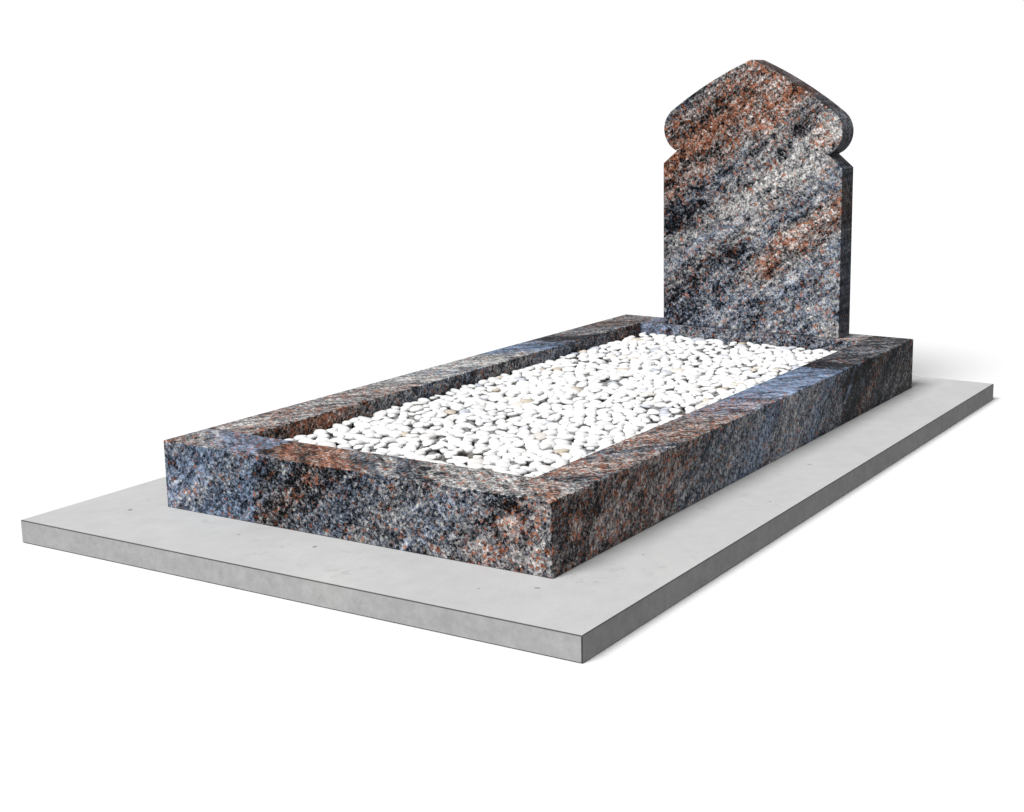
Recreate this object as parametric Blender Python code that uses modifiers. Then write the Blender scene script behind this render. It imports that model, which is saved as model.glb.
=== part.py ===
"""Upright headstone on its kerb set, with the gravel bed inside and the footing slab below.

Metres, +Z up. The origin is the middle of the slab's underside. The headstone stands
at the +Y end and faces -Y, the foot end.
"""
import math
import random

import bmesh
import bpy
from mathutils import Vector

COLLECTION_NAME = "upright_headstone"

# Footing slab: it shows past the kerb set by these margins
SLAB_THICKNESS = 0.050
FOOT_MARGIN = 0.220
HEAD_MARGIN = 0.180
SIDE_MARGIN = 0.200
SLAB_ARRIS = 0.002

# Kerb set
FRAME_LENGTH = 2.000
FRAME_WIDTH = 1.000
KERB_HEIGHT = 0.150
FOOT_KERB_WIDTH = 0.130
SIDE_KERB_WIDTH = 0.125
KERB_ARRIS = 0.0015

# Headstone: straight sides, a notch in each, a round ear above it and an arched crown
STONE_WIDTH = 0.600
STONE_THICKNESS = 0.090
STONE_LEDGE = 0.015
SHOULDER_HEIGHT = 0.508
NOTCH_RISE = 0.039
NOTCH_DEPTH = 0.047
EAR_RADIUS = 0.072
EAR_SETBACK = 0.002
CROWN_RISE = 0.277
CROWN_RADIUS = 1.260
STONE_ARRIS = 0.0015
EAR_STEPS = 24
CROWN_STEPS = 12

# Gravel bed: its top lies below the kerbs, and its pebbles rise and fall by the relief
GRAVEL_DROP = 0.030
PEBBLE_SIZE = 0.044
PEBBLE_RELIEF = 0.014
PEBBLE_SEED = 11

# Pieces that touch are kept this far apart
JOINT_GAP = 0.0003

# Places worked out from the sizes above
SLAB_LENGTH = FRAME_LENGTH + FOOT_MARGIN + HEAD_MARGIN
SLAB_WIDTH = FRAME_WIDTH + 2 * SIDE_MARGIN
HEAD_KERB_WIDTH = STONE_THICKNESS + 2 * STONE_LEDGE
FOOT_END = -SLAB_LENGTH / 2 + FOOT_MARGIN
HEAD_END = FOOT_END + FRAME_LENGTH
INNER_HALF_WIDTH = FRAME_WIDTH / 2 - SIDE_KERB_WIDTH
KERB_TOP = SLAB_THICKNESS + KERB_HEIGHT
BED_FLOOR = SLAB_THICKNESS + JOINT_GAP
BED_FOOT_END = FOOT_END + FOOT_KERB_WIDTH
BED_HEAD_END = HEAD_END - HEAD_KERB_WIDTH


def clear_scene():
    """Take away whatever the file holds."""
    for old in list(bpy.data.objects):
        bpy.data.objects.remove(old, do_unlink=True)


def make_material(name, colour, roughness):
    """A plain Principled material with one colour, for stone and concrete alike."""
    material = bpy.data.materials.new(name)
    material.use_nodes = True
    shader = material.node_tree.nodes["Principled BSDF"]
    shader.inputs["Base Color"].default_value = (*colour, 1.0)
    shader.inputs["Roughness"].default_value = roughness
    shader.inputs["Metallic"].default_value = 0.0
    material.diffuse_color = (*colour, 1.0)
    return material


def add_part(name, data, material, collection, handle):
    """Link one sub-part's mesh or curve under its name, held by the common handle."""
    part = bpy.data.objects.new(name, data)
    part.data.materials.append(material)
    part.parent = handle
    collection.objects.link(part)
    return part


def add_arris(part, width, limit):
    """Ease the edges of a part by one flat of the given width."""
    bevel = part.modifiers.new("arris", "BEVEL")
    bevel.width = width
    bevel.segments = 1
    bevel.limit_method = limit


def make_block(name, low, high, material, arris, collection, handle, butt_ends=()):
    """A sawn block between two corners; edges of a butt-jointed end stay square."""
    low, high = Vector(low), Vector(high)
    mesh = bpy.data.meshes.new(name)
    shape = bmesh.new()
    bmesh.ops.create_cube(shape, size=1.0)
    bmesh.ops.scale(shape, vec=high - low, verts=shape.verts)
    shape.normal_update()
    weight = shape.edges.layers.float.new("bevel_weight_edge")
    for edge in shape.edges:
        on_joint = any(
            face.normal.dot(Vector(end)) > 0.9 for face in edge.link_faces for end in butt_ends
        )
        edge[weight] = 0.0 if on_joint else 1.0
    shape.to_mesh(mesh)
    shape.free()
    block = add_part(name, mesh, material, collection, handle)
    block.location = (low + high) / 2
    add_arris(block, arris, "WEIGHT")
    return block


def arc_points(centre, radius, start, end, steps):
    """Points along a circle from one angle to another, both ends included."""
    angles = [start + (end - start) * step / steps for step in range(steps + 1)]
    return [centre + radius * Vector((math.cos(a), math.sin(a))) for a in angles]


def angle_from(centre, point):
    """The angle of a point seen from a circle's centre."""
    return math.atan2(point.y - centre.y, point.x - centre.x)


def crown_centre(ear_centre, apex):
    """Centre of the arc that passes through the apex and is tangent to the ear's circle.

    It lies where a circle of radius (crown - ear) about the ear's centre crosses
    a circle of the crown's radius about the apex, on the lower side.
    """
    inner = CROWN_RADIUS - EAR_RADIUS
    way = apex - ear_centre
    span = way.length
    along = (inner ** 2 - CROWN_RADIUS ** 2 + span ** 2) / (2 * span)
    across = math.sqrt(inner ** 2 - along ** 2)
    unit = way / span
    left_hand = Vector((-unit.y, unit.x))
    return ear_centre + along * unit + across * left_hand


def headstone_outline():
    """The headstone's front outline, with x from its middle and y up from its foot."""
    half_width = STONE_WIDTH / 2
    shoulder = Vector((half_width, SHOULDER_HEIGHT))
    notch = Vector((half_width - NOTCH_DEPTH, SHOULDER_HEIGHT + NOTCH_RISE))
    apex = Vector((0.0, notch.y + CROWN_RISE))

    ear_x = half_width - EAR_SETBACK - EAR_RADIUS
    ear_rise = math.sqrt(EAR_RADIUS ** 2 - (notch.x - ear_x) ** 2)
    ear_centre = Vector((ear_x, notch.y + ear_rise))

    centre = crown_centre(ear_centre, apex)
    tangent_angle = angle_from(centre, ear_centre)
    ear = arc_points(
        ear_centre, EAR_RADIUS, angle_from(ear_centre, notch), tangent_angle, EAR_STEPS
    )
    crown = arc_points(
        centre, CROWN_RADIUS, tangent_angle, angle_from(centre, apex), CROWN_STEPS
    )
    right = [Vector((half_width, 0.0)), shoulder] + ear + crown[1:]
    left = [Vector((-point.x, point.y)) for point in reversed(right[:-1])]
    return right + left


def make_headstone(material, collection, handle):
    """The outline as a flat curve, given the stone's thickness and stood upright."""
    outline = bpy.data.curves.new("headstone", "CURVE")
    outline.dimensions = "2D"
    outline.fill_mode = "BOTH"
    outline.extrude = STONE_THICKNESS / 2
    points = headstone_outline()
    spline = outline.splines.new("POLY")
    spline.points.add(len(points) - 1)
    for place, point in zip(spline.points, points):
        place.co = (point.x, point.y, 0.0, 1.0)
    spline.use_cyclic_u = True

    stone = add_part("headstone", outline, material, collection, handle)
    stone.rotation_euler = (math.pi / 2, 0.0, 0.0)
    stone.location = (0.0, HEAD_END - HEAD_KERB_WIDTH / 2, KERB_TOP + JOINT_GAP)
    weld = stone.modifiers.new("weld caps", "WELD")
    weld.merge_threshold = 0.0001
    add_arris(stone, STONE_ARRIS, "ANGLE")
    return stone


def make_gravel_bed(material, collection, handle):
    """A bed that fills the kerb set, with a pebbly top and a flat floor.

    The top is a grid with two cells to a pebble. Each of its points lies a random
    depth, up to the relief, below the level of the highest pebbles.
    """
    half_width = INNER_HALF_WIDTH - JOINT_GAP
    half_length = (BED_HEAD_END - BED_FOOT_END) / 2 - JOINT_GAP
    middle = (BED_HEAD_END + BED_FOOT_END) / 2
    top = KERB_TOP - GRAVEL_DROP
    cell = PEBBLE_SIZE / 2
    across = round(2 * half_width / cell)
    along = round(2 * half_length / cell)

    rng = random.Random(PEBBLE_SEED)
    bed = bmesh.new()
    bmesh.ops.create_grid(bed, x_segments=across, y_segments=along, size=1.0)
    for point in bed.verts:
        depth = rng.uniform(0.0, PEBBLE_RELIEF)
        point.co = (point.co.x * half_width, point.co.y * half_length, top - depth)

    rim = [edge for edge in bed.edges if edge.is_boundary]
    skirt = bmesh.ops.extrude_edge_only(bed, edges=rim)["geom"]
    floor_points = [item for item in skirt if isinstance(item, bmesh.types.BMVert)]
    for point in floor_points:
        point.co.z = BED_FLOOR
    floor_edges = [edge for edge in bed.edges if edge.is_boundary]
    bmesh.ops.contextual_create(bed, geom=floor_edges)
    bmesh.ops.recalc_face_normals(bed, faces=bed.faces)

    mesh = bpy.data.meshes.new("gravel_bed")
    bed.to_mesh(mesh)
    bed.free()
    gravel = add_part("gravel_bed", mesh, material, collection, handle)
    gravel.location = (0.0, middle, 0.0)
    return gravel


def make_slab(material, collection, handle):
    """The concrete footing slab, centred on the origin."""
    half = Vector((SLAB_WIDTH / 2, SLAB_LENGTH / 2, 0.0))
    top = Vector((0.0, 0.0, SLAB_THICKNESS))
    make_block("footing_slab", -half, half + top, material, SLAB_ARRIS, collection, handle)


def make_kerbs(material, collection, handle):
    """Foot kerb across the front, side kerbs behind it, and the head kerb between those."""
    outer = FRAME_WIDTH / 2
    toward_foot, toward_left, toward_right = (0, -1, 0), (-1, 0, 0), (1, 0, 0)

    make_block(
        "foot_kerb",
        (-outer, FOOT_END, BED_FLOOR),
        (outer, BED_FOOT_END, KERB_TOP),
        material, KERB_ARRIS, collection, handle,
    )
    for name, side in (("left_kerb", -1), ("right_kerb", 1)):
        edges = sorted((side * INNER_HALF_WIDTH, side * outer))
        make_block(
            name,
            (edges[0], BED_FOOT_END + JOINT_GAP, BED_FLOOR),
            (edges[1], HEAD_END, KERB_TOP),
            material, KERB_ARRIS, collection, handle, butt_ends=(toward_foot,),
        )
    make_block(
        "head_kerb",
        (-INNER_HALF_WIDTH + JOINT_GAP, BED_HEAD_END, BED_FLOOR),
        (INNER_HALF_WIDTH - JOINT_GAP, HEAD_END, KERB_TOP),
        material, KERB_ARRIS, collection, handle, butt_ends=(toward_left, toward_right),
    )


def build():
    """Make every sub-part and gather them in one collection."""
    clear_scene()
    collection = bpy.data.collections.new(COLLECTION_NAME)
    bpy.context.scene.collection.children.link(collection)
    handle = bpy.data.objects.new("memorial_handle", None)
    collection.objects.link(handle)

    concrete = make_material("concrete", (0.60, 0.60, 0.59), 0.90)
    kerb_granite = make_material("kerb_granite", (0.13, 0.12, 0.13), 0.35)
    stone_granite = make_material("headstone_granite", (0.20, 0.17, 0.17), 0.30)
    white_gravel = make_material("white_gravel", (0.85, 0.85, 0.84), 0.80)

    make_slab(concrete, collection, handle)
    make_kerbs(kerb_granite, collection, handle)
    make_headstone(stone_granite, collection, handle)
    make_gravel_bed(white_gravel, collection, handle)


build()
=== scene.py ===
# Upright headstone on its kerb set: granite and concrete finishes, white pebbles, light and camera
import math

import bpy
import numpy as np
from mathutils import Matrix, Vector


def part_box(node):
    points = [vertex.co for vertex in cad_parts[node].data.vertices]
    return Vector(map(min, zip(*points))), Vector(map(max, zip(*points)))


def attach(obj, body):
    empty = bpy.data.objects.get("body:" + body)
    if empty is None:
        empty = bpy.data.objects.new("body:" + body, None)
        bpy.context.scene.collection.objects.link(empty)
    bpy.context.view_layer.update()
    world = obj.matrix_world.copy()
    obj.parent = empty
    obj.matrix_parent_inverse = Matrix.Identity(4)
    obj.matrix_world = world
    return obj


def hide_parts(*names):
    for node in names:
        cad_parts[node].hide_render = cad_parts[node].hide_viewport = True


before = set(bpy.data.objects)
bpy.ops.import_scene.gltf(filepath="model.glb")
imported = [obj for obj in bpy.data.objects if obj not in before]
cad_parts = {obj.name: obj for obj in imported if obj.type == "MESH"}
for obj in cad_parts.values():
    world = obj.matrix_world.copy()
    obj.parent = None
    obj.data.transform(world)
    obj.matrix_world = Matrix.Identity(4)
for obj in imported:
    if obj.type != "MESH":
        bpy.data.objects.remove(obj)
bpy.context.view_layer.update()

print("frame loaded:", ", ".join(sorted(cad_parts)))


# Shader maths

class Sock:
    # an output socket that takes part in plain arithmetic; each operator adds a Math node
    def __init__(self, finish, out):
        self.finish, self.out = finish, out

    def __add__(self, other):
        return self.finish.maths("ADD", self, other)

    def __sub__(self, other):
        return self.finish.maths("SUBTRACT", self, other)

    def __rsub__(self, other):
        return self.finish.maths("SUBTRACT", other, self)

    def __mul__(self, other):
        return self.finish.maths("MULTIPLY", self, other)

    def __truediv__(self, other):
        return self.finish.maths("DIVIDE", self, other)

    def __gt__(self, other):
        return self.finish.maths("GREATER_THAN", self, other)

    def __lt__(self, other):
        return self.finish.maths("LESS_THAN", self, other)

    def __abs__(self):
        return self.finish.maths("ABSOLUTE", self)

    __radd__ = __add__
    __rmul__ = __mul__


class Finish:
    # one procedural material; add() makes any node: its settings first, then its sockets
    def __init__(self, name, roughness, specular):
        self.material = bpy.data.materials.new(name)
        self.material.use_nodes = True
        self.tree = self.material.node_tree
        self.shader = self.tree.nodes["Principled BSDF"]
        self.shader.inputs["Roughness"].default_value = roughness
        self.shader.inputs["Specular IOR Level"].default_value = specular

    def feed(self, socket, value):
        if isinstance(value, Sock):
            self.tree.links.new(value.out, socket)
        else:
            socket.default_value = value

    def add(self, kind, settings=None, inputs=None, output=0):
        node = self.tree.nodes.new(kind)
        for key, value in (settings or {}).items():
            if key == "stops":
                self.setStops(node.color_ramp, value)
            else:
                setattr(node, key, value)
        given = inputs.items() if isinstance(inputs, dict) else enumerate(inputs or [])
        for key, value in given:
            self.feed(node.inputs[key], value)
        return Sock(self, node.outputs[output])

    def setStops(self, ramp, stops):
        while len(ramp.elements) < len(stops):
            ramp.elements.new(1.0)
        for element, (place, colour) in zip(ramp.elements, stops):
            element.position = place
            element.color = colour

    def maths(self, operation, *values):
        return self.add("ShaderNodeMath", {"operation": operation}, list(values))

    def axes(self, vector):
        node = self.tree.nodes.new("ShaderNodeSeparateXYZ")
        self.feed(node.inputs[0], vector)
        return [Sock(self, out) for out in node.outputs]

    def place(self):
        return self.add("ShaderNodeTexCoord", output="Object")

    def facing(self):
        return self.axes(self.add("ShaderNodeNewGeometry", output="Normal"))

    def vector(self, x, y, z):
        return self.add("ShaderNodeCombineXYZ", inputs=[x, y, z])

    def move(self, vector, offset):
        return self.add("ShaderNodeVectorMath", {"operation": "ADD"}, [vector, offset])

    def bend(self, vector, spread, amount):
        # moves each point by up to half the amount, as a noise colour says
        centred = self.move(spread, (-0.5, -0.5, -0.5))
        return self.move(vector, self.times(centred, amount))

    def times(self, colour, amount):
        return self.add("ShaderNodeVectorMath", {"operation": "SCALE"}, {0: colour, "Scale": amount})

    def tint(self, colour, by):
        return self.add("ShaderNodeVectorMath", {"operation": "MULTIPLY"}, [colour, by])

    def mix(self, amount, first, second):
        return self.add("ShaderNodeMix", {"data_type": "RGBA"}, {0: amount, 6: first, 7: second}, 2)

    def step(self, value, low, high):
        # eases from 0 at low to 1 at high
        return self.add("ShaderNodeMapRange", {"interpolation_type": "SMOOTHSTEP"},
                        {"Value": value, "From Min": low, "From Max": high})

    def noise(self, vector, scale, detail=2.0, rough=0.5):
        return self.add("ShaderNodeTexNoise", None,
                        {"Vector": vector, "Scale": scale, "Detail": detail, "Roughness": rough})

    def colourNoise(self, vector, scale, detail):
        return self.add("ShaderNodeTexNoise", None,
                        {"Vector": vector, "Scale": scale, "Detail": detail}, "Color")

    def distance(self, vector, centre):
        return self.add("ShaderNodeVectorMath", {"operation": "DISTANCE"}, [vector, centre], "Value")

    def cells(self, vector, scale):
        # random red, green and blue of each crystal
        colour = self.add("ShaderNodeTexVoronoi", {"feature": "F1"},
                          {"Vector": vector, "Scale": scale}, "Color")
        return self.axes(colour)

    def relief(self, height, strength, depth):
        bump = self.add("ShaderNodeBump", None,
                        {"Height": height, "Strength": strength, "Distance": depth})
        self.feed(self.shader.inputs["Normal"], bump)


def linear(red, green, blue):
    # a colour as the eye names it, 0 to 255, turned into light
    return tuple(((c / 255 + 0.055) / 1.055) ** 2.4 for c in (red, green, blue))


# Granite

granite = {
    # each tone: lightness, share of rust crystals, blueness
    "tones": {
        "jet": (0.12, 0.03, 0.6),
        "charcoal": (0.25, 0.06, 0.45),
        "umber": (0.28, 0.20, 0.1),
        "plum": (0.37, 0.18, 0.4),
        "slate": (0.35, 0.05, 0.65),
        "steelBlue": (0.42, 0.02, 1.0),
        "clearBlue": (0.42, 0.00, 1.4),
        "sky": (0.50, 0.04, 1.5),
        "lilac": (0.45, 0.17, 1.0),
        "lavender": (0.44, 0.09, 1.3),
        "mist": (0.50, 0.05, 0.75),
        "milk": (0.62, 0.03, 0.3),
        "blueGrey": (0.42, 0.05, 0.65),
        "ash": (0.41, 0.08, 0.35),
        "pale": (0.52, 0.06, 0.30),
        "cream": (0.55, 0.06, 0.0),
        "pink": (0.47, 0.20, 0.5),
        "rose": (0.48, 0.27, 0.0),
        "rust": (0.40, 0.50, 0.0),
    },
    "flecksPerCrystal": 2.1,
    # each noise: scale per metre, detail and, past the first, roughness
    "bendNoise": (150.0, 2.0),
    "grainNoise": (190.0, 3.0, 0.7),
    "mottleNoise": (34.0, 3.0, 0.6),
    # how far the outlines are bent, in metres
    "crystalBend": 0.008,
    "clusterBend": 0.030,
    "patchBend": 0.012,
    # how much each of these spreads the lightness
    "bigCrystals": 0.38,
    "smallCrystals": 0.30,
    "grain": 1.15,
    "mottle": 0.38,
    "contrast": 1.10,
    "contrastLostInBlue": 0.34,
    # a few crystals stand in dark clusters
    "clusters": 30.0,        # per metre
    "clusterStart": 0.95,
    "clusterShade": 0.15,
    "patchEdge": (1.2, 0.5),             # shares of the radius where a patch begins and is full
    "darkest": 0.07,
    "lightest": 0.92,
    "gamma": 2.2,            # lightness to reflected light
    "castRange": (0.18, 0.66),           # lightness over which the cool tint turns neutral
    "cool": (0.87, 1.01, 1.18),          # dark crystals
    "neutral": (1.03, 1.04, 1.03),       # light crystals
    "blue": (0.73, 1.02, 1.52),
    "blueSwing": 0.6,        # from crystal to crystal
    "blueGain": 1.5,
    "blueLostInLight": 1.4,
    "flush": (1.27, 0.89, 0.75),
    "flushGain": 2.6,
    "flushLostInLight": 1.6,
    "deepRust": (0.17, 0.043, 0.016),
    "salmon": (0.38, 0.165, 0.10),
    "rustFray": 0.55,
    "rustClump": 0.45,
    "rustEdge": (0.94, 1.05),
    "rustCover": 0.88,
    "rustLight": (2.0, 0.10),            # gain and least light of the rust crystals
    "roughness": 0.42,
    "roughnessSwing": 0.12,
    "specular": 0.04,
    "relief": (0.10, 0.0003),            # strength and depth in metres
    # streaks across and along the bands, per metre, then detail and roughness
    "wideStreaks": (42.0, 7.5, 3.0, 0.6),
    "fineStreaks": (95.0, 20.0, 2.0, 0.6),
    "wideShare": 0.6,
}

facesAxis = 0.7              # a face looks along an axis when its normal has more than this of it


def bandRamp(finish, along, reach, bands):
    # the tone along a line, from bands of (place in metres, tone)
    low, high = reach
    stops = [((place - low) / (high - low), (*granite["tones"][name], 1.0)) for place, name in bands]
    return finish.add("ShaderNodeValToRGB", {"stops": stops}, [(along - low) / (high - low)])


def patchCentre(centre, low, high):
    # None stands for the plane of the face that the patch lies on: right, front or top
    planes = (high[0], low[1], high[2])
    return tuple(plane if at is None else at for at, plane in zip(centre, planes))


def crystalColour(finish, place, tone, streak, piece, box):
    # crystals of two sizes, grain and streaks spread the lightness; some crystals are rust instead
    crystals = piece["crystals"]
    lightness, rust, blueness = finish.axes(tone)
    spread = finish.colourNoise(place, *granite["bendNoise"])
    bent = finish.bend(place, spread, granite["crystalBend"])
    big = finish.cells(bent, crystals)
    small = finish.cells(bent, crystals * granite["flecksPerCrystal"])
    grain = finish.noise(bent, *granite["grainNoise"])
    mottle = finish.noise(place, *granite["mottleNoise"])
    cluster = finish.cells(finish.bend(place, spread, granite["clusterBend"]), granite["clusters"])
    spots = ((big[0] - 0.5) * granite["bigCrystals"] + (small[0] - 0.5) * granite["smallCrystals"]
             + (grain - 0.5) * granite["grain"] + (mottle - 0.5) * granite["mottle"])
    contrast = granite["contrast"] - blueness * granite["contrastLostInBlue"]
    level = (lightness + spots * contrast + (streak - 0.5) * piece["streak"]
             - (cluster[0] > granite["clusterStart"]) * granite["clusterShade"])
    # each patch: centre, radius, and how much lighter and rustier it is
    begins, full = granite["patchEdge"]
    outline = finish.bend(place, spread, granite["patchBend"])
    for centre, radius, lighter, rustier in piece["patches"]:
        away = finish.distance(outline, patchCentre(centre, *box))
        near = finish.step(away, radius * begins, radius * full)
        level = level + near * lighter
        rust = rust + near * rustier
    level = finish.maths("MAXIMUM", level, granite["darkest"])
    grey = finish.maths("POWER", finish.maths("MINIMUM", level, granite["lightest"]), granite["gamma"])
    # from the cool tint in the dark crystals to the neutral one in the light crystals
    light = finish.step(level, *granite["castRange"])
    cast = finish.mix(light, (*granite["cool"], 1.0), (*granite["neutral"], 1.0))
    # blue and rust tints are strongest in the dark crystals
    bluer = blueness + (big[1] - 0.5) * granite["blueSwing"]
    bluer = bluer * granite["blueGain"] - level * granite["blueLostInLight"]
    cast = finish.mix(bluer, cast, (*granite["blue"], 1.0))
    flushed = rust * (granite["flushGain"] - level * granite["flushLostInLight"])
    cast = finish.mix(flushed, cast, (*granite["flush"], 1.0))
    colour = finish.times(cast, grey)
    # grain frays the rust crystals and mottle gathers them in clumps
    rustValue = (big[2] + rust + (grain - 0.5) * granite["rustFray"]
                 + (mottle - 0.5) * granite["rustClump"])
    rustHere = finish.step(rustValue, *granite["rustEdge"])
    rusty = finish.mix(small[1], (*granite["deepRust"], 1.0), (*granite["salmon"], 1.0))
    gain, least = granite["rustLight"]
    rusty = finish.times(rusty, level * gain + least)
    return finish.mix(rustHere * granite["rustCover"], colour, rusty), level


def finishGranite(finish, colour, level):
    finish.feed(finish.shader.inputs["Base Color"], colour)
    swing = granite["roughnessSwing"]
    finish.feed(finish.shader.inputs["Roughness"], level * swing + (granite["roughness"] - swing / 2))
    finish.relief(level, *granite["relief"])


def streakNoise(finish, across, along, sizes, layer):
    perAcross, perAlong, detail, rough = sizes
    at = finish.vector(across * perAcross, along * perAlong, layer)
    return finish.noise(at, 1.0, detail, rough)


def streaks(finish, across, along):
    # streaks that run with the bands, long and thin, in two widths
    wide = streakNoise(finish, across, along, granite["wideStreaks"], 0.0)
    fine = streakNoise(finish, across, along, granite["fineStreaks"], 4.0)
    return wide * granite["wideShare"] + fine * (1.0 - granite["wideShare"])


headstone = {
    "slope": 36.0,           # degrees that the bands rise to the right
    "streak": 1.25,
    "lighterRight": 0.19,    # rise in lightness per metre from left to right
    "crystals": 130.0,       # per metre
    "reach": (-0.20, 0.74),
    "wander": 0.10,          # how far the bands stray, in metres
    "wanderNoise": (7.0, 3.0, 0.6),      # scale per metre, detail and roughness
    "meet": (-0.06, 0.10),   # across here the left bands give way to the right ones
    "left": [(0.00, "slate"), (0.05, "blueGrey"), (0.105, "mist"), (0.145, "slate"),
             (0.175, "blueGrey"), (0.20, "slate"), (0.23, "charcoal"), (0.265, "ash"),
             (0.30, "mist"), (0.35, "pale"), (0.39, "ash"), (0.42, "charcoal"), (0.455, "slate"),
             (0.505, "rose"), (0.54, "umber"), (0.56, "rust"), (0.59, "rust"), (0.617, "umber"),
             (0.65, "rose"), (0.70, "slate")],
    "right": [(-0.18, "pale"), (-0.12, "blueGrey"), (-0.07, "blueGrey"), (-0.02, "blueGrey"),
              (0.03, "slate"), (0.056, "mist"), (0.09, "ash"), (0.115, "umber"), (0.14, "rose"),
              (0.175, "rose"), (0.205, "slate"), (0.235, "blueGrey"), (0.283, "pale"), (0.33, "cream"),
              (0.373, "pale"), (0.40, "ash"), (0.43, "plum"), (0.455, "ash"), (0.48, "rose"),
              (0.51, "rust"), (0.55, "rose"), (0.60, "rose"), (0.66, "rust")],
    "patches": [((0.035, None, 0.785), 0.030, -0.12, 0.0), ((0.105, None, 0.745), 0.022, -0.24, 0.0),
                ((0.165, None, 0.820), 0.024, -0.04, 0.0), ((-0.235, None, 0.545), 0.060, -0.12, 0.0),
                ((-0.092, None, 0.624), 0.062, 0.16, 0.0), ((-0.025, None, 0.690), 0.055, 0.13, 0.0),
                ((-0.035, None, 0.655), 0.014, -0.26, 0.0), ((-0.165, None, 0.590), 0.013, -0.26, 0.0),
                ((0.075, None, 0.800), 0.012, -0.24, 0.0), ((0.130, None, 0.775), 0.011, -0.24, 0.0),
                ((-0.025, None, 0.450), 0.028, -0.07, 0.0), ((0.235, None, 0.800), 0.050, -0.02, 0.14),
                ((0.140, None, 0.375), 0.022, 0.14, 0.0), ((0.150, None, 0.480), 0.030, 0.08, 0.12),
                ((-0.210, None, 0.240), 0.070, -0.09, 0.0), ((0.060, None, 0.405), 0.035, 0.0, 0.14),
                ((0.200, None, 0.905), 0.110, -0.05, 0.0), ((0.010, None, 0.815), 0.080, 0.08, 0.0),
                ((-0.200, None, 0.820), 0.090, -0.05, 0.0), ((0.000, None, 0.260), 0.070, -0.04, 0.0)],
    "paintedEdgeShade": (0.34, 0.37, 0.42),     # painted shade: the sides and top are darker and bluer than the face, standing also for the sawn edges' own darker tone
    "edgeBegins": (0.6, 0.4),            # share of the normal along y, as the face becomes an edge
}


def makeHeadstoneGranite():
    finish = Finish("headstoneGranite", granite["roughness"], granite["specular"])
    place = finish.place()
    x, y, z = finish.axes(place)
    low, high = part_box("headstone")
    turn = math.radians(headstone["slope"])
    up = z - low[2]
    across = up * math.cos(turn) - x * math.sin(turn)
    along = x * math.cos(turn) + up * math.sin(turn)
    wander = (finish.noise(place, *headstone["wanderNoise"]) - 0.5) * headstone["wander"]
    left = bandRamp(finish, across + wander, headstone["reach"], headstone["left"])
    right = bandRamp(finish, across + wander, headstone["reach"], headstone["right"])
    tone = finish.mix(finish.step(x + wander, *headstone["meet"]), left, right)
    tone = finish.move(tone, finish.vector(x * headstone["lighterRight"], 0.0, 0.0))
    streak = streaks(finish, across, along)
    colour, level = crystalColour(finish, place, tone, streak, headstone, (low, high))
    # painted shade on the sides and top, which face away from the front
    onEdge = finish.step(abs(finish.facing()[1]), *headstone["edgeBegins"])
    colour = finish.mix(onEdge, colour, finish.tint(colour, headstone["paintedEdgeShade"]))
    finishGranite(finish, colour, level)
    return finish.material


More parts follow.
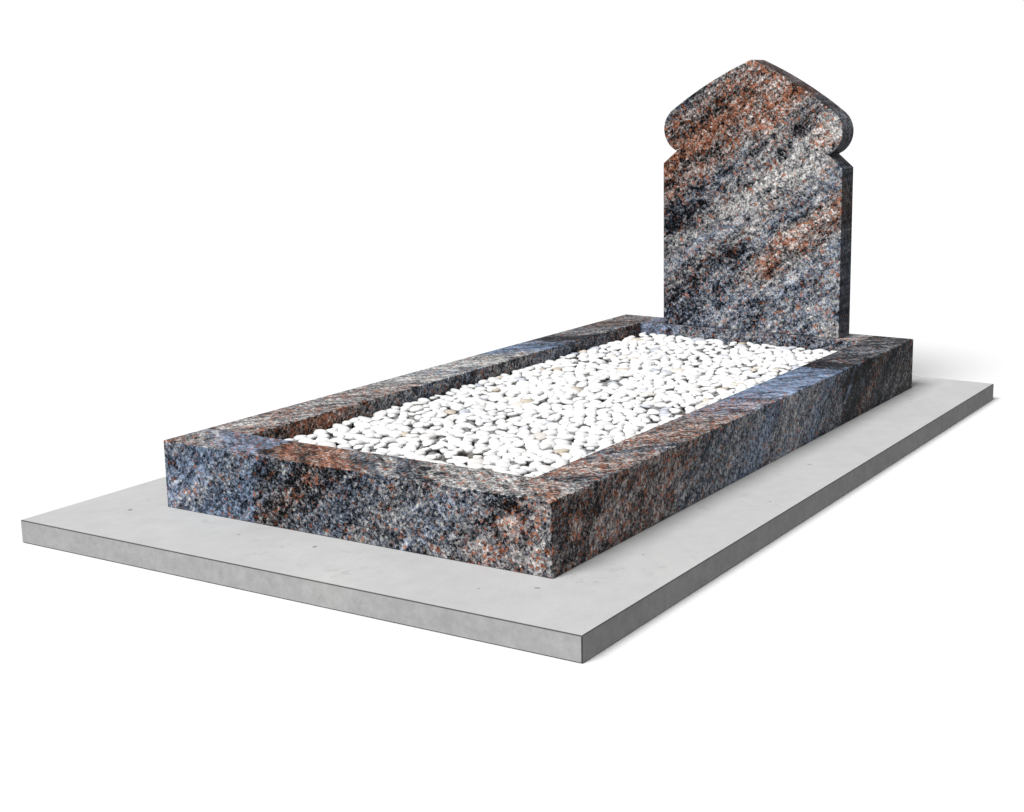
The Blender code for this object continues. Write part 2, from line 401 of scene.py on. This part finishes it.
# Kerbs: bands cross each face aslant and are placed along its middle line;
# at the seam the tone changes square across the kerb
kerbs = {
    "slope": 42.0,           # degrees that the bands rise
    "wander": 0.16,
    "wanderNoise": (8.0, 3.0, 0.6),
    "seamHalf": 0.001,       # no band is blended nearer to a seam than this
    "topStreak": 0.35,       # the tops are that much more streaked than the sides
    # each kerb: the axis that it runs along, which way its top's bands lean, the place of the seam,
    # the reach of its bands, the tone of its ends, and how much lighter its sides are
    "foot_kerb": {
        "axis": 0, "lean": -1.0, "seam": -0.246, "reach": (-0.72, 0.72), "end": "plum",
        "sideLift": -0.03, "crystals": 150.0, "streak": 0.95,
        "side": [(-0.64, "pale"), (-0.56, "blueGrey"), (-0.50, "steelBlue"), (-0.42, "steelBlue"),
                 (-0.36, "blueGrey"), (-0.30, "steelBlue"), (-0.247, "steelBlue"), (-0.245, "charcoal"),
                 (-0.225, "charcoal"), (-0.205, "blueGrey"), (-0.185, "charcoal"), (-0.14, "umber"),
                 (-0.10, "charcoal"), (-0.03, "slate"),
                 (0.04, "slate"), (0.10, "ash"), (0.17, "blueGrey"), (0.25, "blueGrey"),
                 (0.33, "ash"), (0.42, "pink"), (0.50, "ash")],
        "top": [(-0.55, "pink"), (-0.47, "pale"), (-0.40, "mist"), (-0.34, "lavender"),
                (-0.247, "lavender"), (-0.245, "umber"), (-0.21, "rust"), (-0.175, "umber"),
                (-0.13, "rust"), (-0.06, "rust"),
                (0.00, "slate"), (0.06, "pale"), (0.10, "slate"), (0.14, "charcoal"), (0.18, "cream"),
                (0.26, "pale"), (0.30, "pale"), (0.34, "cream"),
                (0.38, "cream"), (0.46, "rose"), (0.52, "pale")],
        "patches": [((0.405, None, 0.142), 0.058, -0.15, 0.0),
                    ((0.405, None, 0.142), 0.030, 0.29, 0.10),
                    ((-0.215, None, 0.165), 0.040, -0.10, 0.0),
                    ((-0.31, None, 0.120), 0.060, -0.04, 0.0),
                    ((0.47, None, 0.072), 0.030, 0.10, 0.03), ((-0.46, None, 0.12), 0.075, 0.07, 0.02),
                    ((0.145, -0.897, None), 0.017, -0.34, 0.0),
                    ((-0.06, None, 0.120), 0.070, -0.03, 0.0),
                    ((0.195, -0.915, None), 0.014, -0.30, 0.0),
                    ((0.070, -0.925, None), 0.011, -0.26, 0.0),
                    ((-0.235, -0.945, None), 0.022, -0.26, 0.0),
                    ((-0.19, -0.915, None), 0.065, -0.03, 0.12),
                    ((0.01, -0.90, None), 0.030, -0.14, 0.0),
                    ((None, -0.90, 0.130), 0.052, -0.10, 0.0),
                    ((None, -0.90, 0.130), 0.030, 0.22, 0.16)],
    },
    "right_kerb": {
        "axis": 1, "lean": 1.0, "seam": 0.452, "reach": (-1.20, 1.20), "end": "slate",
        "sideLift": 0.015, "crystals": 140.0, "streak": 0.95,
        "side": [(-0.98, "plum"), (-0.84, "plum"), (-0.74, "pink"), (-0.62, "plum"),
                 (-0.50, "pink"), (-0.40, "slate"), (-0.28, "blueGrey"), (-0.18, "blueGrey"),
                 (-0.05, "steelBlue"), (0.05, "blueGrey"), (0.14, "mist"), (0.22, "blueGrey"),
                 (0.30, "steelBlue"), (0.38, "slate"), (0.451, "slate"),
                 (0.453, "jet"), (0.472, "jet"), (0.486, "steelBlue"), (0.500, "jet"), (0.60, "jet"),
                 (0.68, "umber"), (0.76, "jet"), (0.84, "charcoal"), (0.96, "charcoal")],
        "top": [(-0.98, "cream"), (-0.84, "slate"), (-0.76, "rose"), (-0.66, "pink"), (-0.56, "slate"),
                (-0.46, "rose"), (-0.36, "pink"), (-0.26, "pink"), (-0.14, "lilac"), (-0.04, "lilac"),
                (0.04, "lavender"), (0.12, "sky"), (0.20, "sky"), (0.451, "clearBlue"),
                (0.453, "jet"), (0.54, "charcoal"), (0.66, "charcoal"), (0.76, "slate"),
                (0.86, "charcoal"), (0.96, "charcoal")],
        "patches": [((0.40, 0.505, None), 0.060, -0.18, 0.0), ((0.44, -0.34, None), 0.110, -0.05, 0.0),
                    ((0.44, -0.87, None), 0.110, -0.03, 0.0),
                    ((0.49, -0.05, None), 0.050, 0.08, 0.0), ((0.49, 0.12, None), 0.045, 0.12, 0.0)],
    },
    "left_kerb": {
        "axis": 1, "lean": 1.0, "seam": 0.452, "reach": (-1.20, 1.20), "end": "slate",
        "sideLift": 0.0, "crystals": 140.0, "streak": 0.95,
        "side": [(-0.90, "umber"), (-0.70, "rust"), (-0.50, "ash"), (-0.30, "blueGrey"),
                 (-0.10, "slate"), (0.10, "ash"), (0.25, "blueGrey"), (0.451, "steelBlue"),
                 (0.453, "charcoal"), (0.60, "slate"), (0.72, "umber"), (0.98, "charcoal")],
        "top": [(-0.98, "lavender"), (-0.88, "pink"), (-0.74, "pale"), (-0.62, "pink"),
                (-0.50, "pale"), (-0.40, "pink"), (-0.28, "pale"), (-0.16, "milk"), (-0.08, "mist"),
                (0.00, "milk"), (0.10, "milk"), (0.16, "pale"), (0.23, "mist"), (0.31, "clearBlue"),
                (0.451, "steelBlue"), (0.453, "jet"), (0.54, "jet"), (0.62, "ash"), (0.74, "slate"),
                (0.84, "umber"), (0.94, "ash")],
        "patches": [],
    },
    "head_kerb": {
        "axis": 0, "lean": 1.0, "seam": -0.60, "reach": (-0.70, 0.60), "end": "slate",
        "sideLift": 0.0, "crystals": 140.0, "streak": 0.95,
        "side": [(-0.50, "lavender"), (-0.36, "lavender"), (-0.31, "slate"), (-0.10, "blueGrey"),
                 (0.08, "slate"), (0.22, "slate"), (0.30, "blueGrey"), (0.45, "rose")],
        "top": [(-0.50, "lavender"), (-0.33, "lavender"), (-0.28, "slate"), (0.20, "slate"),
                (0.30, "blueGrey"), (0.39, "pink"), (0.50, "ash")],
        "patches": [],
    },
}


def makeKerbGranite(name):
    kerb = kerbs[name]
    low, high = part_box(name)
    finish = Finish(name + "Granite", granite["roughness"], granite["specular"])
    place = finish.place()
    axes = finish.axes(place)
    facing = finish.facing()
    lengthwise, crosswise = kerb["axis"], 1 - kerb["axis"]
    length = axes[lengthwise]
    isTop = facing[2] > facesAxis
    side = axes[2] - (low[2] + high[2]) / 2
    top = (axes[crosswise] - (low[crosswise] + high[crosswise]) / 2) * kerb["lean"]
    rise = side + (top - side) * isTop
    turn = math.radians(kerbs["slope"])
    wander = (finish.noise(place, *kerbs["wanderNoise"]) - 0.5) * kerbs["wander"]
    slant = length - rise / math.tan(turn) + wander
    before = finish.maths("MINIMUM", slant, kerb["seam"] - kerbs["seamHalf"])
    after = finish.maths("MAXIMUM", slant, kerb["seam"] + kerbs["seamHalf"])
    slant = before + (after - before) * (length > kerb["seam"])
    tone = finish.mix(isTop, bandRamp(finish, slant, kerb["reach"], kerb["side"]),
                      bandRamp(finish, slant, kerb["reach"], kerb["top"]))
    isEnd = abs(facing[lengthwise]) > facesAxis
    tone = finish.mix(isEnd, tone, (*granite["tones"][kerb["end"]], 1.0))
    run = length + axes[crosswise] * isEnd
    across = rise * math.cos(turn) - run * math.sin(turn)
    along = run * math.cos(turn) + rise * math.sin(turn)
    streak = (streaks(finish, across, along) - 0.5) * (1.0 + isTop * kerbs["topStreak"]) + 0.5
    tone = finish.move(tone, finish.vector((1.0 - isTop) * kerb["sideLift"], 0.0, 0.0))
    finishGranite(finish, *crystalColour(finish, place, tone, streak, kerb, (low, high)))
    return finish.material


# Concrete footing slab

concrete = {
    "colour": (192, 192, 192),
    "roughness": 0.9,
    "specular": 0.2,
    "paintedEdgeShade": 0.84,       # painted shade: the upright faces are darker than the top, standing also for the cast edges' darker finish
    "arrisShade": 0.22,
    "rim": 0.0014,           # width of the darker line along each edge
    "rimDark": 0.4,
    # painted shade inside the pits
    "pitPaintedShade": 0.45,
    "scuffDark": 0.12,
    # each noise: scale per metre, detail and, past the last, roughness
    "cloudNoise": (3.2, 5.0, 0.62),
    "mottleNoise": (26.0, 4.0, 0.65),
    "sandNoise": (210.0, 3.0, 0.75),
    "smudgeNoise": (42.0, 6.0, 0.75),
    "scuffNoise": (9.0, 8.0, 0.85),
    "bendNoise": (70.0, 3.0),
    "smudgesFrom": (3.0, 5.0, 7.0),      # another part of the noise than the mottle's
    # how much each of them changes the shade
    "clouds": 0.26,
    "mottle": 0.18,
    "sand": 0.16,
    "smudges": 0.70,         # on the cast edges alone
    "scuffStart": (0.545, 0.60),
    "scuffWhere": (0.45, 0.58),          # scuffs keep to the cloudy spots
    "warmWhere": (0.52, 0.70),
    "warmShare": 0.15,
    "warmTint": (1.02, 1.0, 0.96),
    "relief": (0.30, 0.0012),
    "pitBend": 0.016,        # how far the pits' outlines stray, in metres
    "pitFloor": 0.4,         # share of the radius that is fully dark
    # each pit: place and radius
    "pits": [(-0.556, -1.036, 0.0085), (-0.025, -1.040, 0.0080), (0.503, -1.034, 0.0085),
             (-0.217, -1.055, 0.0045), (0.410, -1.088, 0.0045), (0.575, -0.770, 0.0050),
             (0.590, 0.030, 0.0070), (0.570, 0.820, 0.0050), (0.640, -0.310, 0.0040),
             (-0.600, -0.420, 0.0070), (-0.570, 0.550, 0.0060), (0.120, 1.120, 0.0060)],
}


def makeConcrete():
    finish = Finish("footingConcrete", concrete["roughness"], concrete["specular"])
    place = finish.place()
    x, y, z = finish.axes(place)
    facing = finish.facing()
    clouds = finish.noise(place, *concrete["cloudNoise"])
    mottle = finish.noise(place, *concrete["mottleNoise"])
    sand = finish.noise(place, *concrete["sandNoise"])
    smudges = finish.noise(finish.move(place, concrete["smudgesFrom"]), *concrete["smudgeNoise"])
    isEdge = facing[2] < 1.0 - facesAxis
    shade = (1.0 + (clouds - 0.5) * concrete["clouds"] + (mottle - 0.5) * concrete["mottle"]
             + (sand - 0.5) * concrete["sand"])
    shade = shade + (smudges - 0.5) * isEdge * concrete["smudges"]
    bent = finish.bend(place, finish.colourNoise(place, *concrete["bendNoise"]), concrete["pitBend"])
    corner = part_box("footing_slab")[1]
    # the pits are darkened: painted shade in their hollows, over a slight dent of the relief
    pits = 0.0
    for atX, atY, radius in concrete["pits"]:
        away = finish.distance(bent, (atX, atY, corner[2]))
        pits = pits + finish.step(away, radius, radius * concrete["pitFloor"])
    scuff = finish.step(finish.noise(bent, *concrete["scuffNoise"]), *concrete["scuffStart"])
    scuff = scuff * finish.step(clouds, *concrete["scuffWhere"])
    shade = shade * (1.0 - pits * concrete["pitPaintedShade"] - scuff * concrete["scuffDark"])
    # painted shade: every upright face is darkened by the way it faces, with the cast edges' own darker
    # finish
    shade = shade * (1.0 - isEdge * (1.0 - concrete["paintedEdgeShade"]))
    flatness = finish.maths("MAXIMUM", abs(facing[0]), abs(facing[1]))
    flatness = finish.maths("MAXIMUM", flatness, abs(facing[2]))
    shade = shade * (1.0 - (flatness < 0.9) * (1.0 - concrete["arrisShade"]))
    # a point near two of the slab's planes lies beside an edge
    high = [value - concrete["rim"] for value in corner]
    near = (abs(x) > high[0]) + (abs(y) > high[1]) + (z > high[2])
    shade = shade * (1.0 - (near > 1.5) * concrete["rimDark"])
    colour = finish.times(finish.vector(*linear(*concrete["colour"])), shade)
    warm = finish.step(clouds, *concrete["warmWhere"]) * concrete["warmShare"]
    colour = finish.mix(warm, colour, finish.tint(colour, concrete["warmTint"]))
    finish.feed(finish.shader.inputs["Base Color"], colour)
    finish.relief(sand * 0.5 + mottle * 0.3 - pits * 1.5, *concrete["relief"])
    return finish.material


# White pebbles

pebbles = {
    "seed": 7,
    "spacing": 0.0342,       # between neighbours of the top layer
    "radius": (0.0105, 0.0225),
    "flatness": (0.30, 0.46),            # half height, as a share of the radius
    "underSpacing": 0.034,
    "underDrop": 0.009,
    "unevenness": 0.003,     # how far a crest lies below the highest
    "beside": 1.2,           # a pebble this many radii from a kerb touches it
    "tilt": 9.0,
    "rings": 5,
    "sides": 9,
    "roughness": 0.55,
    "specular": 0.3,
    "slimness": (0.78, 1.0),             # width, as a share of the radius
    "swings": (0.11, 0.08, 0.07),        # of the radius: two lobes, three lobes, end to end
    "length": 1.06,
    "bulge": 0.85,           # a power below 1 fills a pebble out
    "jitter": 0.28,          # of the grid, as a share of the spacing
    "closeness": 0.90,       # distance of touching neighbours, as a share of their radii
    "push": 0.28,            # share of an overlap that is cleared in each round
    "underSize": 0.95,
    "bedDepth": 0.030,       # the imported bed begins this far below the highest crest
    "paintedUnderShade": 0.28,      # painted shade: the stones below and the bed are darkened, as if in the shade of the top layer
    "veinNoise": (95.0, 4.0, 0.6),
    "gritNoise": (900.0, 2.0),
    "veinStart": (0.56, 0.72),
    "veinDark": 0.14,
    "grit": 0.06,
    "relief": (0.25, 0.0008),
    # share of the pebbles up to which each colour goes: tan, cream, white, grey-blue
    "tones": [(0.00, (0.52, 0.45, 0.35, 1)), (0.012, (0.68, 0.62, 0.54, 1)),
              (0.025, (0.80, 0.79, 0.78, 1)), (0.50, (0.88, 0.88, 0.88, 1)),
              (0.93, (0.93, 0.93, 0.93, 1)), (0.96, (0.80, 0.81, 0.84, 1)),
              (0.985, (0.58, 0.60, 0.66, 1)), (1.00, (0.46, 0.49, 0.55, 1))],
}


def spreadPebbles(rng, spacing, low, high, rounds):
    # a jittered triangular grid, then neighbours pushed apart until they about touch
    columns = int((high[0] - low[0]) / spacing)
    rows = int((high[1] - low[1]) / (spacing * math.sqrt(0.75)))
    column, row = np.meshgrid(np.arange(columns), np.arange(rows))
    at = np.stack([(column + 0.25 + 0.5 * (row % 2)) / columns, (row + 0.5) / rows], -1).reshape(-1, 2)
    at = low[:2] + at * (high - low)[:2]
    at = at + rng.normal(0.0, spacing * pebbles["jitter"], at.shape)
    radius = rng.uniform(*pebbles["radius"], len(at))
    for _ in range(rounds):
        gap = at[:, None] - at[None]
        far = np.hypot(gap[..., 0], gap[..., 1]) + np.eye(len(at))
        wanted = (radius[:, None] + radius[None]) * pebbles["closeness"]
        push = np.clip(wanted - far, 0.0, None) * (1 - np.eye(len(at)))
        at = at + (gap / far[..., None] * push[..., None]).sum(1) * pebbles["push"]
        at = np.clip(at, low[:2] + radius[:, None], high[:2] - radius[:, None])
    return at, radius


def pebbleMesh(name, rng, at, radius, low, high):
    # each pebble: a globe whose radius swings along and around it, squashed, tilted and turned
    count = len(at)
    latitude = np.radians(np.linspace(-90, 90, pebbles["rings"] + 2))[1:-1]
    longitude = np.linspace(0, 2 * np.pi, pebbles["sides"], endpoint=False)
    lat, lon = np.meshgrid(latitude, longitude, indexing="ij")
    lat, lon = lat.ravel(), lon.ravel()
    lat = np.concatenate([lat, [-np.pi / 2, np.pi / 2]])
    lon = np.concatenate([lon, [0.0, 0.0]])
    phase = rng.uniform(0, 2 * np.pi, (count, 3))
    two, three, lengthwise = pebbles["swings"]
    swing = (1 + two * np.sin(2 * lon + phase[:, :1]) * np.cos(lat)
             + three * np.sin(3 * lon + phase[:, 1:2]) * np.cos(lat)
             + lengthwise * np.sin(2 * lat + phase[:, 2:]))
    height = np.sign(np.sin(lat)) * np.abs(np.sin(lat)) ** pebbles["bulge"]
    girth = np.cos(lat) ** pebbles["bulge"]
    globe = np.stack([girth * np.cos(lon), girth * np.sin(lon), height], -1)
    flat = rng.uniform(*pebbles["flatness"], count)
    slim = rng.uniform(*pebbles["slimness"], count)
    size = np.stack([radius * pebbles["length"], radius * slim, radius * flat], -1)
    body = globe[None] * swing[..., None] * size[:, None]
    turn = rng.uniform(0, 2 * np.pi, count)
    lean = np.radians(rng.normal(0.0, pebbles["tilt"], (count, 2)))
    body = rotate(rotate(rotate(body, lean[:, 0], 1, 2), lean[:, 1], 0, 2), turn, 0, 1)
    # pebbles beside a kerb lie against it, level with the highest
    besideLow = at - low[:2] < radius[:, None] * pebbles["beside"]
    besideHigh = high[:2] - at < radius[:, None] * pebbles["beside"]
    at = np.where(besideLow, low[:2] - body.min(1)[:, :2], at)
    at = np.where(besideHigh, high[:2] - body.max(1)[:, :2], at)
    drop = rng.uniform(0.0, pebbles["unevenness"], count)
    drop[(besideLow | besideHigh).any(1)] = 0.0
    place = np.column_stack([at, high[2] - body[..., 2].max(1) - drop])
    points = body + place[:, None]

    rings, sides = pebbles["rings"], pebbles["sides"]
    ring, side = np.meshgrid(np.arange(rings - 1), np.arange(sides), indexing="ij")
    ring, side = ring.ravel(), side.ravel()
    after = (side + 1) % sides
    quads = np.stack([ring * sides + side, ring * sides + after,
                      (ring + 1) * sides + after, (ring + 1) * sides + side], -1)
    side = np.arange(sides)
    after = (side + 1) % sides
    south, north = rings * sides, rings * sides + 1
    last = (rings - 1) * sides
    caps = np.concatenate([np.stack([np.full(sides, south), after, side], -1),
                           np.stack([np.full(sides, north), last + side, last + after], -1)])
    size = points.shape[1]
    shift = np.arange(count)[:, None, None] * size
    faces = (quads[None] + shift).reshape(-1, 4).tolist() + (caps[None] + shift).reshape(-1, 3).tolist()
    mesh = bpy.data.meshes.new(name)
    mesh.from_pydata(points.reshape(-1, 3), [], faces)
    mesh.shade_smooth()
    tone = mesh.attributes.new("pebbleTone", "FLOAT", "POINT")
    tone.data.foreach_set("value", np.repeat(rng.uniform(0, 1, count), size).astype(np.float32))
    mesh.update()
    return mesh


def rotate(points, angle, first, second):
    # turns every pebble's points by its own angle in the plane of two axes
    turned = points.copy()
    cosine, sine = np.cos(angle)[:, None], np.sin(angle)[:, None]
    turned[..., first] = points[..., first] * cosine - points[..., second] * sine
    turned[..., second] = points[..., first] * sine + points[..., second] * cosine
    return turned


def makePebbleFinish(name, shade):
    finish = Finish(name, pebbles["roughness"], pebbles["specular"])
    place = finish.place()
    tone = finish.add("ShaderNodeAttribute", {"attribute_name": "pebbleTone"}, output="Fac")
    base = finish.add("ShaderNodeValToRGB", {"stops": pebbles["tones"]}, [tone])
    veins = finish.noise(place, *pebbles["veinNoise"])
    grit = finish.noise(place, *pebbles["gritNoise"])
    veined = finish.step(veins, *pebbles["veinStart"]) * pebbles["veinDark"]
    shadeHere = 1.0 - veined + (grit - 0.5) * pebbles["grit"]
    # shade darkens the whole finish: 1 for the top layer, painted shade for the stones below and the
    # bed
    colour = finish.times(base, shadeHere * shade)
    finish.feed(finish.shader.inputs["Base Color"], colour)
    finish.relief(veins * 0.6 + grit * 0.4, *pebbles["relief"])
    return finish.material


def addPiece(name, mesh, material):
    piece = bpy.data.objects.new(name, mesh)
    mesh.materials.append(material)
    bpy.context.scene.collection.objects.link(piece)
    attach(piece, "root")
    return piece


def bedMesh(name, low, high):
    # the packed gravel below the pebbles: a plain closed block
    corners = np.array([(x, y, z) for x in (0, 1) for y in (0, 1) for z in (0, 1)], float)
    points = low + corners * (high - low)
    faces = [(0, 1, 3, 2), (4, 6, 7, 5), (0, 4, 5, 1), (2, 3, 7, 6), (0, 2, 6, 4), (1, 5, 7, 3)]
    mesh = bpy.data.meshes.new(name)
    mesh.from_pydata(points, [], faces)
    return mesh


def makeGravel():
    rng = np.random.default_rng(pebbles["seed"])
    low, high = (np.array(corner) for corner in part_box("gravel_bed"))
    at, radius = spreadPebbles(rng, pebbles["spacing"], low, high, 40)
    upper = pebbleMesh("pebblesTop", rng, at, radius, low, high)
    at, radius = spreadPebbles(rng, pebbles["underSpacing"], low, high, 25)
    under = pebbleMesh("pebblesUnder", rng, at, radius * pebbles["underSize"], low,
                       high - (0, 0, pebbles["underDrop"]))
    bed = bedMesh("gravelBelow", low, high - (0, 0, pebbles["bedDepth"]))
    # the stones below and the bed wear a darkened copy of the pebbles' finish: painted shade in the
    # gaps of the top layer
    white = makePebbleFinish("whitePebbles", 1.0)
    grey = makePebbleFinish("paintedShadePebbles", pebbles["paintedUnderShade"])
    for name, mesh, material in (("pebblesTop", upper, white), ("pebblesUnder", under, grey),
                                 ("gravelBelow", bed, grey)):
        piece = addPiece(name, mesh, material)
        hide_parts("gravel_bed")
    print("pebbles:", len(upper.polygons), "and", len(under.polygons), "faces")


# Floor, light and camera

studio = {
    "ambient": 0.31,         # light from all round
    "sun": 3.75,
    "sunFrom": (-0.11, -0.60, 0.79),
    "sunSoftness": 30.0,     # degrees across
    "floor": (0.84, 0.84, 0.84),
    "floorSize": 60.0,
}

view = {
    "at": (1.9549, -3.2108, 0.9691),
    "turn": 28.6078,         # degrees to the left of straight ahead
    "tip": 11.3102,          # degrees downwards
    "lens": 52.31,
    "shift": (-0.14914, -0.02946),
}


def makeFloor():
    half = studio["floorSize"] / 2
    mesh = bpy.data.meshes.new("floor")
    mesh.from_pydata([(-half, -half, 0), (half, -half, 0), (half, half, 0), (-half, half, 0)], [],
                     [(0, 1, 2, 3)])
    floor = bpy.data.objects.new("floor", mesh)
    finish = Finish("paleFloor", 0.9, 0.0)
    finish.shader.inputs["Base Color"].default_value = (*studio["floor"], 1.0)
    mesh.materials.append(finish.material)
    bpy.context.scene.collection.objects.link(floor)
    floor.location.z = -0.0005
    floor.visible_diffuse = False
    floor.visible_glossy = False


def makeLight():
    world = bpy.data.worlds.new("studio")
    world.use_nodes = True
    nodes, links = world.node_tree.nodes, world.node_tree.links
    white, soft = nodes["Background"], nodes.new("ShaderNodeBackground")
    path, pick = nodes.new("ShaderNodeLightPath"), nodes.new("ShaderNodeMixShader")
    white.inputs["Color"].default_value = (1, 1, 1, 1)
    white.inputs["Strength"].default_value = 1.0
    soft.inputs["Color"].default_value = (1, 1, 1, 1)
    soft.inputs["Strength"].default_value = studio["ambient"]
    links.new(path.outputs["Is Camera Ray"], pick.inputs[0])
    links.new(soft.outputs[0], pick.inputs[1])
    links.new(white.outputs[0], pick.inputs[2])
    links.new(pick.outputs[0], nodes["World Output"].inputs["Surface"])
    bpy.context.scene.world = world

    sun = bpy.data.objects.new("sun", bpy.data.lights.new("sun", "SUN"))
    sun.data.energy = studio["sun"]
    sun.data.angle = math.radians(studio["sunSoftness"])
    fromX, fromY, fromZ = studio["sunFrom"]
    sun.rotation_euler = (math.atan2(math.hypot(fromX, fromY), fromZ), 0,
                          math.atan2(fromX, -fromY))
    bpy.context.scene.collection.objects.link(sun)


def makeCamera():
    camera = bpy.data.objects.new("camera", bpy.data.cameras.new("camera"))
    camera.location = view["at"]
    camera.rotation_euler = (math.radians(90 - view["tip"]), 0, math.radians(view["turn"]))
    camera.data.lens = view["lens"]
    camera.data.shift_x, camera.data.shift_y = view["shift"]
    camera.data.clip_end = 200
    bpy.context.scene.collection.objects.link(camera)
    bpy.context.scene.camera = camera


def dress(node, material):
    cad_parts[node].material_slots[0].material = material


makeCamera()
makeLight()
makeFloor()
print("camera, light and floor done")

dress("footing_slab", makeConcrete())
dress("headstone", makeHeadstoneGranite())
for name in ("foot_kerb", "left_kerb", "right_kerb", "head_kerb"):
    dress(name, makeKerbGranite(name))
print("stone and concrete done")

makeGravel()
bpy.context.scene.view_settings.view_transform = "Standard"
